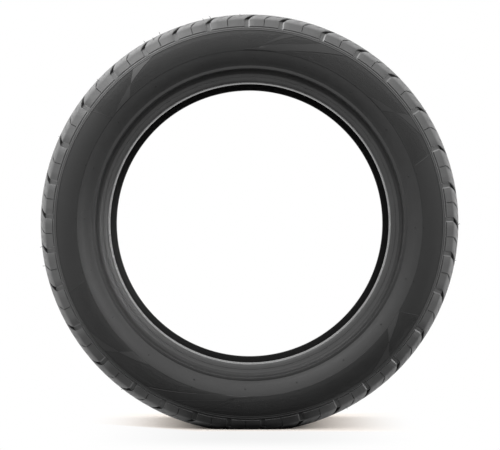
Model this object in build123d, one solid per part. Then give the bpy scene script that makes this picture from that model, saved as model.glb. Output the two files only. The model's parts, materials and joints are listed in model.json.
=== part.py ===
from build123d import *
from math import asin, atan, cos, radians, sin, sqrt, tan
import os

# Car tyre: one moulded piece, a revolved carcass with a grooved and slotted tread.
# The origin is the wheel centre, the axle runs along Y, +Z is up and the tyre stands on -Z.
# A section point is (r, y): its distance from the axle and its distance from the mid-plane.

# Overall size
outer_diameter = 656.8
bead_diameter = 436.6
rim_width = 178.0
sidewall_bulge = 7.0

# Crown and shoulders
tread_width = 176.0
crown_radius = 900.0
shoulder_radius = 14.0
shoulder_bends = 2
buttress_height = 29.5

# Grooves that run round the tread
tread_depth = 8.0
groove_width = 9.0
groove_draft = 8.0
inner_groove_y = 19.0
outer_groove_y = 57.0

# Bead, which sits on the rim by its toe land and tapered seat and curves round the rim's flange
bead_width = 18.0
toe_land = 5.0
seat_taper = 5.0
heel_radius = 6.0
heel_bends = 2
bead_face_lean = 10.0
flange_height = 17.3
flange_radius = 9.5
flange_cover = 14.0
flange_cover_draft = 14.0
rim_line_width = 4.0

# Walls
crown_wall = 17.0
side_wall = 8.0
shoulder_wall = 11.0
liner_corner = 24.0

# Shoulder slots, one to a pitch, with three lengths of pitch mixed to spread the tread's hum
pitch_order = "LMMLLMSSMLMMSMMSSSSMLLMSSMLLMSSMS"
pitch_share = {"S": 8, "M": 9, "L": 10}
first_slot_angle = 9.1
slot_width = 4.2
slot_slant = 57.0
slot_reach = 28.0
slot_end_depth = 7.0
slot_mouth_height = 17.0

# How far the tread is pressed in where the tyre stands
standing_flat = 9.5

# How far a cutter reaches past the surface that it cuts, and a pad into the wall behind it
overlap = 3.0

# Radii and places that follow from the sizes above
crown_r = outer_diameter / 2
liner_r = crown_r - crown_wall
bead_r = bead_diameter / 2
heel_y = rim_width / 2
toe_y = heel_y - bead_width
toe_r = bead_r - (bead_width - toe_land) * tan(radians(seat_taper))
flange_r = bead_r + flange_height
cover_y = heel_y + flange_cover
cover_r = flange_r + flange_cover * tan(radians(flange_cover_draft))
rim_line_r = cover_r + rim_line_width
foot_r = crown_r - buttress_height
widest_r = (rim_line_r + foot_r) / 2
lean = 2 * atan(sidewall_bulge / (foot_r - widest_r))
edge_y = tread_width / 2
edge_slope = asin(edge_y / crown_radius)
edge_r = crown_r - crown_radius * (1 - cos(edge_slope))
shoulder_r = edge_r - shoulder_radius * (cos(edge_slope) - sin(lean))
shoulder_y = edge_y + shoulder_radius * (cos(lean) - sin(edge_slope))
foot_y = shoulder_y + (shoulder_r - foot_r) * tan(lean)
widest_y = foot_y + sidewall_bulge


def crown_radius_at(y):
    """Radius of the tread's surface at the distance y from the mid-plane."""
    return crown_r - crown_radius + sqrt(crown_radius**2 - y**2)


def bent(centre, radius, start, end, bends):
    """Points of a round corner that is turned in this many straight bends, in radians."""
    angles = [start + (end - start) * bend / bends for bend in range(bends + 1)]
    return [(centre[0] + radius * cos(angle), centre[1] + radius * sin(angle)) for angle in angles]


def shoulder_corner():
    """Round corner from the edge of the tread to the buttress."""
    centre = (
        edge_r - shoulder_radius * cos(edge_slope),
        edge_y - shoulder_radius * sin(edge_slope),
    )
    return bent(centre, shoulder_radius, edge_slope, radians(90) - lean, shoulder_bends)


def heel_corner():
    """Round corner from the bead's face to its seat."""
    face = radians(90 + bead_face_lean)
    seat = radians(180 - seat_taper)
    inset = heel_radius / (1 + cos(seat - face))
    centre = (
        bead_r - inset * (cos(face) + cos(seat)),
        heel_y - inset * (sin(face) + sin(seat)),
    )
    return bent(centre, heel_radius, face, seat, heel_bends)


def flange_corner():
    """Where the bead's face would meet the underside of the part that covers the flange."""
    face_slope = tan(radians(bead_face_lean))
    both_slopes = face_slope * tan(radians(flange_cover_draft))
    corner_r = (flange_r - both_slopes * bead_r) / (1 - both_slopes)
    return corner_r, heel_y + (corner_r - bead_r) * face_slope


def half_section():
    """Section of one half of the carcass, before its tread is cut."""
    crown = TangentArc((crown_r, 0), (edge_r, edge_y), tangent=(0, 1))
    shoulder = Polyline(shoulder_corner())
    buttress = Line(shoulder @ 1, (foot_r, foot_y))
    upper_wall = TangentArc(buttress @ 1, (widest_r, widest_y), tangent=buttress % 1)
    lower_wall = TangentArc(upper_wall @ 1, (rim_line_r, cover_y), tangent=upper_wall % 1)
    rim_line = Line(lower_wall @ 1, (cover_r, cover_y))
    heel = Polyline(heel_corner())
    flange = FilletPolyline(rim_line @ 1, flange_corner(), heel @ 0, radius=flange_radius)
    seat = Polyline(heel @ 1, (toe_r, toe_y + toe_land), (toe_r, toe_y))
    liner = Polyline(
        seat @ 1,
        (widest_r, widest_y - side_wall),
        (foot_r, foot_y - shoulder_wall),
        (liner_r, foot_y - shoulder_wall - liner_corner),
        (liner_r, 0),
    )
    mid_plane = Line(liner @ 1, crown @ 0)
    outside = [crown, shoulder, buttress, upper_wall, lower_wall, rim_line, flange, heel, seat]
    return make_face(outside + [liner, mid_plane])


def flat_half_length(radius):
    """Half the length of the flat where a circle of this radius is pressed in."""
    return sqrt(radius**2 - (radius - standing_flat) ** 2)


def carcass():
    """The revolved body, pressed in where it stands, with its wall as thick there as elsewhere."""
    half = half_section()
    body = revolve(half + mirror(half, Plane.XZ), Axis.Y)
    pad = Pos(0, 0, standing_flat - liner_r) * Box(
        2 * (flat_half_length(liner_r) + overlap),
        2 * (foot_y - shoulder_wall),
        standing_flat + overlap,
        align=(Align.CENTER, Align.CENTER, Align.MAX),
    )
    ground = Pos(0, 0, standing_flat - crown_r) * Box(
        outer_diameter,
        outer_diameter,
        standing_flat + overlap,
        align=(Align.CENTER, Align.CENTER, Align.MAX),
    )
    return body + pad - ground


def groove(y):
    """Cutter of one groove, carried straight across the flat at its full depth."""
    top_r = crown_radius_at(y)
    floor_r = top_r - tread_depth
    rim_r = top_r + overlap
    flare = tan(radians(groove_draft))
    floor_half = groove_width / 2 - tread_depth * flare
    rim_half = groove_width / 2 + overlap * flare
    section = make_face(
        Polyline(
            (floor_r, y - floor_half),
            (floor_r, y + floor_half),
            (rim_r, y + rim_half),
            (rim_r, y - rim_half),
            close=True,
        )
    )
    ring = revolve(section, Axis.Y)
    foot_section = Pos(0, 0, standing_flat) * Rot(0, 90, 0) * section
    straight = extrude(foot_section, amount=flat_half_length(floor_r) + overlap, both=True)
    return ring + straight


def slot():
    """Cutter of one shoulder slot, at the top of the near side: a blade slanted across the tread.

    Its floor falls from its closed end to the tread's edge, and from there to its mouth
    in the buttress.
    """
    mouth_r = foot_r + slot_mouth_height
    mouth_y = foot_y - slot_mouth_height * tan(lean)
    floor_r = edge_r - tread_depth
    fall = (floor_r - mouth_r) / (mouth_y - edge_y)
    end_floor_r = crown_radius_at(mouth_y - slot_reach) - slot_end_depth
    top_r = crown_r + overlap
    slant = tan(radians(slot_slant))
    stretch = 1 / cos(radians(slot_slant))
    blade = make_face(
        Polyline(
            (slot_reach * stretch, end_floor_r),
            ((mouth_y - edge_y) * stretch, floor_r),
            (-overlap * stretch, mouth_r - overlap * fall),
            (-overlap * stretch, top_r),
            (slot_reach * stretch, top_r),
            close=True,
        )
    )
    blade_plane = Plane((0, -mouth_y, 0), x_dir=(slant, 1, 0), z_dir=(1, -slant, 0))
    return extrude(blade_plane * blade, amount=slot_width / 2, both=True)


def pressed_in(angle):
    """How far the tread is pressed in at this angle from the top."""
    below = -cos(radians(angle))
    return max(0, crown_r - (crown_r - standing_flat) / below) if below > 0 else 0


def slots():
    """Cutters of the slots of both shoulders: the far shoulder is the near one turned round."""
    share = 360 / sum(pitch_share[pitch] for pitch in pitch_order)
    cutter = slot()
    angle = first_slot_angle
    near = []
    for pitch in pitch_order:
        near.append(Rot(0, angle, 0) * Pos(0, 0, -pressed_in(angle)) * cutter)
        angle += share * pitch_share[pitch]
    far = [Rot(0, 0, 180) * placed for placed in near]
    return near + far


tyre = carcass()
tyre -= [groove(y) for y in (-outer_groove_y, -inner_groove_y, inner_groove_y, outer_groove_y)]
tyre -= slots()

os.makedirs("parts", exist_ok=True)
export_step(tyre, "parts/tyre.step")
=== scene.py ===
import json
from math import asin, atan, cos, pi, radians, sin, tan
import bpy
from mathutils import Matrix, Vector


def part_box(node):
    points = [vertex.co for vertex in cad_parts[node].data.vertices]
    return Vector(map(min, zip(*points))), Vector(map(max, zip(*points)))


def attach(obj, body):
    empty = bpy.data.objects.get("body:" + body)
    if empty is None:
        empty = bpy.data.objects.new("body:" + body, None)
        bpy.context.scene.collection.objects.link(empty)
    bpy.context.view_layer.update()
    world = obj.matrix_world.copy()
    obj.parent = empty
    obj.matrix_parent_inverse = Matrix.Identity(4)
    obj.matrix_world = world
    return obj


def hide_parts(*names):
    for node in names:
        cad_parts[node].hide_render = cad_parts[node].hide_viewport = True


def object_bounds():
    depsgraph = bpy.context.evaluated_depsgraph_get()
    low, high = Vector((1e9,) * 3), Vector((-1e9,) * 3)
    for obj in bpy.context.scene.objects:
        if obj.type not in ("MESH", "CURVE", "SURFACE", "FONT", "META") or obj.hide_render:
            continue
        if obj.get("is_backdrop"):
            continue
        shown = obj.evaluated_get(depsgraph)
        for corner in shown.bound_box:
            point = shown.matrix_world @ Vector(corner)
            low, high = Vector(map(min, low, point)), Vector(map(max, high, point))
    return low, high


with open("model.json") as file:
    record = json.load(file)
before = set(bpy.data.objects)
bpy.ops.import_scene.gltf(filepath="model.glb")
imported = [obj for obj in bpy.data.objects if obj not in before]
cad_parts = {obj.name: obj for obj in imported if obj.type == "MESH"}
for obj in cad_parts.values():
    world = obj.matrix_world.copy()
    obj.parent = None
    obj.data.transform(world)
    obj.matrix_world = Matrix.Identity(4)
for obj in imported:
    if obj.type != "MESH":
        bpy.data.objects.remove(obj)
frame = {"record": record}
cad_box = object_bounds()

from types import SimpleNamespace

import bpy
import numpy as np
from bpy.props import FloatProperty, FloatVectorProperty, PointerProperty
from mathutils import Vector

bl_info = {
    "name": "Car tyre",
    "version": (1, 0, 0),
    "blender": (4, 5, 0),
    "location": "3D View > Sidebar > Tyre",
    "description": "Builds a standing car tyre and its white studio around the CAD part",
    "category": "Add Mesh",
}

# Lengths are in metres. The axle is Y, the tyre stands on -Z, and angles run clockwise from
# the top as seen from -Y. A section point is (r, y): its distances from axle and mid-plane.
MM = 0.001
LOW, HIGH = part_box("tyre")
RIM_SEAT = next(mount for mount in frame["record"]["mounts"] if mount["name"] == "rim_seat")


class TyreSizes(bpy.types.PropertyGroup):
    """Sizes of the tyre, the main ones as the CAD part has them."""

    outer_diameter: FloatProperty(
        name="Outer diameter", description="Across the crown of the tread",
        default=2 * HIGH[2], unit="LENGTH")
    toe_diameter: FloatProperty(
        name="Toe diameter", description="Across the narrowest ring of the beads",
        default=2 * RIM_SEAT["dims"]["r_mm"] * MM, unit="LENGTH")
    standing_flat: FloatProperty(
        name="Standing flat", description="How far the tread is pressed in where the tyre stands",
        default=HIGH[2] + LOW[2], unit="LENGTH")
    tread_depth: FloatProperty(
        name="Tread depth", description="Depth of the grooves and slots",
        default=8 * MM, unit="LENGTH")
    groove_width: FloatProperty(
        name="Groove width", description="Width of the grooves that run round the tread",
        default=9 * MM, unit="LENGTH")
    slot_width: FloatProperty(
        name="Slot width", description="Width of the shoulder slots, square to their run",
        default=4.2 * MM, unit="LENGTH")
    slot_slant: FloatProperty(
        name="Slot slant", description="How far the slots lean from the axle's direction",
        default=radians(57), subtype="ANGLE")
    recess_depth: FloatProperty(
        name="Recess depth", description="Depth of the flute below each slot's mouth",
        default=1.6 * MM, unit="LENGTH")
    sipe_width: FloatProperty(
        name="Sipe width", description="Width of the thin cut between two slots, square to its run",
        default=1.2 * MM, unit="LENGTH")
    sipe_depth: FloatProperty(
        name="Sipe depth", description="Depth of the thin cut between two slots",
        default=4.5 * MM, unit="LENGTH")
    serration_pitch: FloatProperty(
        name="Serration pitch", description="Distance from one sidewall serration to the next",
        default=2.2 * MM, unit="LENGTH")
    serration_height: FloatProperty(
        name="Serration height", description="How far the serrations and field edges stand up",
        default=0.45 * MM, unit="LENGTH")
    spew_length: FloatProperty(
        name="Vent hair length", description="Length of the longest hairs left by the mould's vents",
        default=5 * MM, unit="LENGTH")


class TyreColours(bpy.types.PropertyGroup):
    """Colours of the rubber from the tread to the liner."""

    tread: FloatVectorProperty(
        name="Tread", description="Dusty rubber of the tread and shoulders",
        default=(0.14, 0.14, 0.14), subtype="COLOR", min=0, max=1)
    buttress: FloatVectorProperty(
        name="Buttress", description="Rubber between the shoulder and the serrated band",
        default=(0.049, 0.049, 0.049), subtype="COLOR", min=0, max=1)
    # Painted highlight: a lighter wall on one side of each flute, standing in for the light that
    # catches it
    flute: FloatVectorProperty(
        name="Flute wall", description="Brightened wall on one side of each flute",
        default=(0.08, 0.08, 0.08), subtype="COLOR", min=0, max=1)
    # Painted shade: the darkest rubber, laid deeper in the cuts, standing in for the shade there as
    # well as their clean dark rubber
    cut: FloatVectorProperty(
        name="Cuts", description="Shaded rubber deep in the grooves, slots and sipes",
        default=(0.006, 0.006, 0.006), subtype="COLOR", min=0, max=1)
    band: FloatVectorProperty(
        name="Serrated band", description="Dark rubber between the serrations",
        default=(0.024, 0.024, 0.024), subtype="COLOR", min=0, max=1)
    wall: FloatVectorProperty(
        name="Lower sidewall", description="Smooth rubber below the serrated band",
        default=(0.0375, 0.0375, 0.0375), subtype="COLOR", min=0, max=1)
    bead: FloatVectorProperty(
        name="Bead", description="Rubber of the bead's face and flange",
        default=(0.057, 0.057, 0.057), subtype="COLOR", min=0, max=1)
    # Painted shade: a darker ring in the hollow round the rim's flange, whose underside faces the
    # axle and falls in shade
    hollow: FloatVectorProperty(
        name="Flange hollow", description="Shaded dark rubber that curves round the rim's flange",
        default=(0.028, 0.028, 0.028), subtype="COLOR", min=0, max=1)
    # Painted highlight: a light ring that stands in for the white background mirrored in the bead's
    # seat at a grazing angle
    heel: FloatVectorProperty(
        name="Heel line", description="Highlit edge where the bead turns into its seat",
        default=(0.195, 0.195, 0.195), subtype="COLOR", min=0, max=1)
    facet: FloatVectorProperty(
        name="Facet", description="Polished rubber between the serrated fields",
        default=(0.062, 0.062, 0.062), subtype="COLOR", min=0, max=1)
    liner: FloatVectorProperty(
        name="Liner", description="Airtight rubber inside the tyre",
        default=(0.045, 0.045, 0.045), subtype="COLOR", min=0, max=1)


class StageSettings(bpy.types.PropertyGroup):
    """Camera, floor and background of the studio."""

    camera_distance: FloatProperty(
        name="Camera distance", description="From the camera to the tyre's mid-plane",
        default=3.04, unit="LENGTH")
    focal_length: FloatProperty(
        name="Focal length", description="Of the camera's lens, in millimetres",
        default=137.0)
    floor: FloatVectorProperty(
        name="Floor", description="Colour of the floor in the tyre's shadow",
        default=(0.86, 0.8, 0.74), subtype="COLOR", min=0, max=1)
    floor_bounce: FloatVectorProperty(
        name="Floor bounce", description="Colour that the floor throws back at the tyre",
        default=(0.55, 0.55, 0.55), subtype="COLOR", min=0, max=1)
    # Painted shadow colour: the floor's white emission takes this tint where it fades into the
    # tyre's shadow
    shadow: FloatVectorProperty(
        name="Shadow tint", description="Tint of the light that fills the tyre's shadow",
        default=(1.0, 0.88, 0.78), subtype="COLOR", min=0, max=1)
    background: FloatVectorProperty(
        name="Background", description="Colour that the camera sees behind the tyre",
        default=(1.0, 1.0, 1.0), subtype="COLOR", min=0, max=1)


# Lengths of the section that the CAD part has

RIM_WIDTH = 178 * MM
SIDEWALL_BULGE = 7 * MM
TREAD_WIDTH = 176 * MM
CROWN_RADIUS = 900 * MM
SHOULDER_RADIUS = 14 * MM
BUTTRESS_HEIGHT = 29.5 * MM
GROOVE_DRAFT = radians(8)
INNER_GROOVE_Y = 19 * MM
OUTER_GROOVE_Y = 57 * MM
BEAD_WIDTH = 18 * MM
TOE_LAND = 5 * MM
SEAT_TAPER = radians(5)
HEEL_RADIUS = 6 * MM
BEAD_FACE_LEAN = radians(10)
FLANGE_HEIGHT = 17.3 * MM
FLANGE_RADIUS = 9.5 * MM
FLANGE_COVER = 14 * MM
FLANGE_COVER_DRAFT = radians(14)
RIM_LINE_WIDTH = 4 * MM
CROWN_WALL = 17 * MM
SIDE_WALL = 8 * MM
SHOULDER_WALL = 11 * MM
LINER_CORNER = 24 * MM
SLOT_REACH = 28 * MM
SLOT_END_RISE = 1 * MM      # a slot is this much shallower at its closed end
SLOT_MOUTH_HEIGHT = 17 * MM

# The three lengths of pitch, in the order they come round the tread
PITCH_ORDER = "LMMLLMSSMLMMSMMSSSSMLLMSSMLLMSSMS"
PITCH_SHARE = {"S": 8, "M": 9, "L": 10}
FIRST_SLOT = radians(9.1)

# Rows of points on the section, and the shallow relief that they carry

BLEND_Y = 66 * MM           # inside of this the columns of one shoulder turn into the other's
MIDDLE_ROWS = (0.0, 7.5 * MM)
RIB_ROWS = (31 * MM, 38 * MM, 45 * MM)
BLOCK_ROWS = (76 * MM, 82 * MM)
EDGE_BEVEL = 0.6 * MM
SHOULDER_STEPS = 7
# Height above the buttress's foot and relief: plain rubber, then a fine groove, then a rib
BUTTRESS_ROWS = np.array([
    (17, 0), (15.6, 0), (11, 0), (8, 0), (7.2, 0), (6.1, 0),
    (5.5, 0), (5.0, -0.8), (4.3, -0.8), (3.8, 0),
    (3.5, 0), (3.1, 0.35), (1.6, 0.35), (1.2, 0),
]) * MM
BAND_TOP_DOWN = 1.0 * MM    # the serrated band starts this far below the buttress's foot
BAND_FOOT_UP = 23.2 * MM    # and ends this far above the rim line
BAND_STEPS = 8
BAND_SINK = 0.5 * MM
BAND_STEP = 0.3 * MM
WALL_SINK = 1.1 * MM
WALL_STEP = 0.6 * MM
WALL_STEPS = 6
RIM_LINE_STEP = 0.9 * MM
RIM_LINE_ROWS = np.array([(0.1, -0.3), (-0.4, 0), (-2, 0), (-3.6, 0)]) * MM
COVER_BEVEL = 0.4 * MM
FLANGE_STEPS = 7
FACE_ROWS = np.array([0.1, 0.3, 0.41, 0.48, 0.55, 0.7, 0.9])
FACE_LINE = 0.48            # a fine line is sunk this share of the way down the bead's face
FACE_LINE_SINK = 0.45 * MM
HEEL_STEPS = 6
TOE_BEVEL = (0.3 * MM, 0.8 * MM)
TOE_LINER_ROWS = np.array([0.35, 0.7])
LINER_STEPS = 3


def smooth_step(value):
    """0 below 0, 1 above 1, and 3v^2 - 2v^3 between."""
    value = np.clip(value, 0, 1)
    return value**2 * (3 - 2 * value)


def unit(vector):
    """The vector's direction, with length 1."""
    return vector / np.linalg.norm(vector)


def arc_rows(centre, radius, start, end, count):
    """Section points on a circle: centre + radius * (cos, sin) of evenly spread angles."""
    angle = np.linspace(start, end, count)
    return centre[0] + radius * np.cos(angle), centre[1] + radius * np.sin(angle)


class Section:
    """The named radii and distances of the section, worked out as the CAD part does."""

    def __init__(self, size):
        self.crown_r = size.outer_diameter / 2
        self.toe_r = size.toe_diameter / 2
        self.heel_y = RIM_WIDTH / 2
        self.toe_y = self.heel_y - BEAD_WIDTH
        self.bead_r = self.toe_r + (BEAD_WIDTH - TOE_LAND) * tan(SEAT_TAPER)
        self.flange_r = self.bead_r + FLANGE_HEIGHT
        self.cover_y = self.heel_y + FLANGE_COVER
        self.cover_r = self.flange_r + FLANGE_COVER * tan(FLANGE_COVER_DRAFT)
        self.rim_line_r = self.cover_r + RIM_LINE_WIDTH
        self.foot_r = self.crown_r - BUTTRESS_HEIGHT
        self.widest_r = (self.rim_line_r + self.foot_r) / 2
        self.lean = 2 * atan(SIDEWALL_BULGE / (self.foot_r - self.widest_r))
        self.edge_y = TREAD_WIDTH / 2
        self.edge_slope = asin(self.edge_y / CROWN_RADIUS)
        self.edge_r = self.crown_r - CROWN_RADIUS * (1 - cos(self.edge_slope))
        self.bend_r = self.edge_r - SHOULDER_RADIUS * cos(self.edge_slope)
        self.bend_y = self.edge_y - SHOULDER_RADIUS * sin(self.edge_slope)
        self.shoulder_r = self.bend_r + SHOULDER_RADIUS * sin(self.lean)
        self.shoulder_y = self.bend_y + SHOULDER_RADIUS * cos(self.lean)
        self.foot_y = self.shoulder_y + (self.shoulder_r - self.foot_r) * tan(self.lean)
        self.widest_y = self.foot_y + SIDEWALL_BULGE
        self.mouth_r = self.foot_r + SLOT_MOUTH_HEIGHT
        self.mouth_y = self.foot_y - SLOT_MOUTH_HEIGHT * tan(self.lean)
        self.end_y = self.mouth_y - SLOT_REACH
        self.band_top = self.foot_r - BAND_TOP_DOWN
        self.band_foot = self.rim_line_r + BAND_FOOT_UP

    def crown_at(self, y):
        """Radius of the tread's surface at the distance y: a wide arc round the mid-plane."""
        return self.crown_r - CROWN_RADIUS + np.sqrt(CROWN_RADIUS**2 - np.square(y))

    def wall_y(self, r):
        """Distance of the sidewall from the mid-plane at the radius r.

        Two arcs meet upright at the widest point. The upper one, of radius
        rise^2 / (2 bulge) + bulge / 2, runs up to the buttress, and the lower one in the same
        way down to the rim line.
        """
        upper_rise = self.foot_r - self.widest_r
        lower_rise = self.widest_r - self.rim_line_r
        lower_drop = self.widest_y - self.cover_y
        upper = upper_rise**2 / (2 * SIDEWALL_BULGE) + SIDEWALL_BULGE / 2
        lower = lower_rise**2 / (2 * lower_drop) + lower_drop / 2
        radius = np.where(r > self.widest_r, upper, lower)
        return self.widest_y - radius + np.sqrt(radius**2 - np.square(r - self.widest_r))

    def slot_floor(self, y, depth):
        """Radius of a slot's floor: straight from its closed end to the tread's edge and mouth."""
        end_r = self.crown_at(self.end_y) - (depth - SLOT_END_RISE)
        return np.interp(y, [self.end_y, self.edge_y, self.mouth_y],
                         [end_r, self.edge_r - depth, self.mouth_r])


class Rows:
    """Rows of one half of the section, in order from the crown round the bead to the liner.

    Each row has its place (r, y) on the plain surface, how deep the grooves dig it towards the
    axle, how far relief lifts it square to the surface, and whether it is on the liner.
    """

    names = ("r", "y", "dig", "lift", "liner")

    def __init__(self):
        self.groups = []

    def add(self, r, y, dig=0.0, lift=0.0, liner=False):
        self.groups.append(np.broadcast_arrays(np.atleast_1d(r), y, dig, lift, liner))

    def joined(self):
        joined = (np.concatenate(values) for values in zip(*self.groups))
        return SimpleNamespace(**dict(zip(self.names, joined)))


def tread_rows(rows, section, size):
    """Adds the crown with its grooves, the round of the shoulder and the buttress."""

    def crown(*places):
        y = np.array(places)
        rows.add(section.crown_at(y), y)

    def groove(y):
        half = size.groove_width / 2
        floor_half = half - size.tread_depth * tan(GROOVE_DRAFT)
        at = y + np.array(
            [-half - EDGE_BEVEL, -half, -floor_half, floor_half, half, half + EDGE_BEVEL])
        top = section.crown_at(at)
        floor = section.crown_at(y) - size.tread_depth
        on_floor = np.array([0, 0, 1, 1, 0, 0])
        on_edge = np.array([0, 1, 0, 0, 1, 0])
        rows.add(top, at, on_floor * (top - floor) + on_edge * EDGE_BEVEL / 2)

    crown(*MIDDLE_ROWS)
    groove(INNER_GROOVE_Y)
    crown(*RIB_ROWS)
    groove(OUTER_GROOVE_Y)
    end_y = section.end_y
    crown(BLEND_Y, end_y - EDGE_BEVEL, end_y, end_y + CUT_WALL, *BLOCK_ROWS)
    rows.add(*arc_rows((section.bend_r, section.bend_y), SHOULDER_RADIUS,
                       section.edge_slope, pi / 2 - section.lean, SHOULDER_STEPS))
    height, lift = BUTTRESS_ROWS.T
    rows.add(section.foot_r + height, section.foot_y - height * tan(section.lean), lift=lift)


def wall_rows(rows, section):
    """Adds the sunk band, the lower wall, which is sunk deeper, and the rim line."""

    def wall(r, lift):
        rows.add(r, section.wall_y(r), lift=lift)

    top, foot = section.band_top, section.band_foot
    wall(np.array([section.foot_r, top + BAND_STEP, top]), np.array([0, 0, -BAND_SINK]))
    wall(np.linspace(top, foot, BAND_STEPS)[1:], -BAND_SINK)
    wall(np.linspace(foot - WALL_STEP, section.rim_line_r + RIM_LINE_STEP, WALL_STEPS), -WALL_SINK)
    rise, lift = RIM_LINE_ROWS.T
    rows.add(section.rim_line_r + rise, section.cover_y, lift=lift)


def bead_rows(rows, section):
    """Adds the hollow for the rim's flange, the bead's face with its fine line, heel and seat.

    The hollow is an arc that touches the flange cover and the bead's face. The heel is an arc
    that touches the face and the seat.
    """
    face_slope = tan(BEAD_FACE_LEAN)
    both = face_slope * tan(FLANGE_COVER_DRAFT)
    corner_r = (section.flange_r - both * section.bead_r) / (1 - both)
    corner = np.array([corner_r, section.heel_y + (corner_r - section.bead_r) * face_slope])
    up = unit(np.array([section.cover_r, section.cover_y]) - corner)
    down = unit(np.array([section.bead_r, section.heel_y]) - corner)
    half_turn = np.arccos(up @ down) / 2
    centre = corner + unit(up + down) * FLANGE_RADIUS / np.sin(half_turn)
    reach = FLANGE_RADIUS / np.tan(half_turn)
    face_start = corner + down * reach
    start, end = (
        np.arctan2(y, r) + 2 * pi for r, y in (corner + up * reach - centre, face_start - centre))
    rows.add(section.cover_r, section.cover_y - COVER_BEVEL)
    rows.add(*arc_rows(centre, FLANGE_RADIUS, start, end, FLANGE_STEPS))

    face, seat = pi / 2 + BEAD_FACE_LEAN, pi - SEAT_TAPER
    inset = HEEL_RADIUS / (1 + cos(seat - face))
    heel = (section.bead_r - inset * (cos(face) + cos(seat)),
            section.heel_y - inset * (sin(face) + sin(seat)))
    heel_r, heel_y = arc_rows(heel, HEEL_RADIUS, face, seat, HEEL_STEPS)
    face_r, face_y = face_start
    rows.add(face_r + (heel_r[0] - face_r) * FACE_ROWS, face_y + (heel_y[0] - face_y) * FACE_ROWS,
             lift=-FACE_LINE_SINK * (FACE_ROWS == FACE_LINE))
    rows.add(heel_r, heel_y)
    rise, run = TOE_BEVEL
    rows.add(section.toe_r + np.array([0, 0, rise]), section.toe_y + np.array([TOE_LAND, run, 0]))


def liner_rows(rows, section):
    """Adds the liner, from the toe to the middle of the crown.

    It rounds off the corners of a line. From the middle a of one stretch to the middle c of the
    next, round the corner b, it is (1 - t)^2 a + 2 t (1 - t) b + t^2 c.
    """
    liner_r = section.crown_r - CROWN_WALL
    corners = np.array([
        (section.toe_r, section.toe_y),
        (section.widest_r, section.widest_y - SIDE_WALL),
        (section.foot_r, section.foot_y - SHOULDER_WALL),
        (liner_r, section.foot_y - SHOULDER_WALL - LINER_CORNER),
        (liner_r, 0),
    ])
    middles = (corners[1:] + corners[:-1]) / 2
    start = corners[0] + (middles[0] - corners[0]) * TOE_LINER_ROWS[:, None]
    rows.add(*start.T, liner=True)
    share = np.linspace(0, 1, LINER_STEPS, endpoint=False)[:, None]
    for before, bend, after in zip(middles[:-1], corners[1:-1], middles[1:]):
        curve = (1 - share) ** 2 * before + 2 * share * (1 - share) * bend + share**2 * after
        rows.add(*curve.T, liner=True)
    rows.add(*middles[-1], liner=True)
    rows.add(*corners[-1], liner=True)


def half_rows(section, size):
    """One half of the section, with each row's outward direction.

    Also says which rows are on the tread, down to the buttress's foot.
    """
    rows = Rows()
    tread_rows(rows, section, size)
    wall_rows(rows, section)
    bead_rows(rows, section)
    liner_rows(rows, section)
    half = rows.joined()
    run_r, run_y = np.gradient(half.r), np.gradient(half.y)
    run = np.hypot(run_r, run_y)
    half.out_r, half.out_y = run_y / run, -run_r / run
    half.tread = ~half.liner & (half.r > section.foot_r)
    return half


# Columns of the tread, which follow its slots, sipes and ticks

PLAIN, LEFT_EDGE, LEFT_FLOOR, SIPE, TICK, RIGHT_FLOOR, RIGHT_EDGE = range(7)
SLOT_KINDS = [PLAIN, LEFT_EDGE, LEFT_FLOOR, RIGHT_FLOOR, RIGHT_EDGE, PLAIN]
SIPE_KINDS = [PLAIN, SIPE, PLAIN]
TICK_KINDS = [PLAIN, TICK, PLAIN]
PITCH_KINDS = SLOT_KINDS + TICK_KINDS + SIPE_KINDS + TICK_KINDS

CUT_WALL = 0.3 * MM         # how far the walls of a slot and of a flute spread towards the floor
FLUTE_WALL = 1.6 * MM
EVEN_REACH = 12 * MM        # over this much below the buttress the columns become evenly spread
RECESS_FOOT = 3.4 * MM      # a flute's foot, above the buttress's foot
RECESS_FADE = 1 * MM
SIPE_START = 74 * MM        # a sipe's closed end on the tread, and how soon it gets deep there
SIPE_RAMP = 2 * MM
SIPE_FADE = 2.5 * MM        # how soon it gets shallow where the buttress starts
SIPE_FLARE = 1.8            # it is this much wider on the tread than on the buttress
SIPE_FLARE_END = 1 * MM
SIPE_FOOT = 6.5 * MM
LOW_SIPE_DEPTH = 1.2 * MM   # a sipe's depth on the buttress, and how far up it reaches
LOW_SIPE_TOP = 4 * MM
TICK_WIDTH = 3.0 * MM
TICK_DEPTH = 2.4 * MM
TICK_START = 78 * MM
TICK_RAMP = 6 * MM
TICK_END = 97 * MM
TICK_FADE = 4 * MM
FLAT_SINK = 0.3 * MM        # relief ends where a column is sunk deeper than this
DARK_DEPTH = 3.0 * MM       # a cut this deep is fully dark: painted shade that deepens with the cut, and the cut's clean dark rubber
GROOVE_DARK = 0.25          # how dark the painted shade in the fine groove under the buttress is, of a deep cut's 1
GROOVE_SINK = 0.6 * MM      # rows with relief below this are in that groove

# Marks on the mesh that its material reads
LINER = "liner"
CUT_SHADE = "cut"
FLUTE_HIGHLIGHT = "flute"
POLISH_AND_HIGHLIGHT = "polish"


def pitch_angles():
    """Angle of each slot's mouth, and of the pitch that follows it."""
    share = np.array([PITCH_SHARE[pitch] for pitch in PITCH_ORDER], float)
    pitch = 2 * pi * share / share.sum()
    return FIRST_SLOT + np.cumsum(pitch) - pitch, pitch


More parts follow.
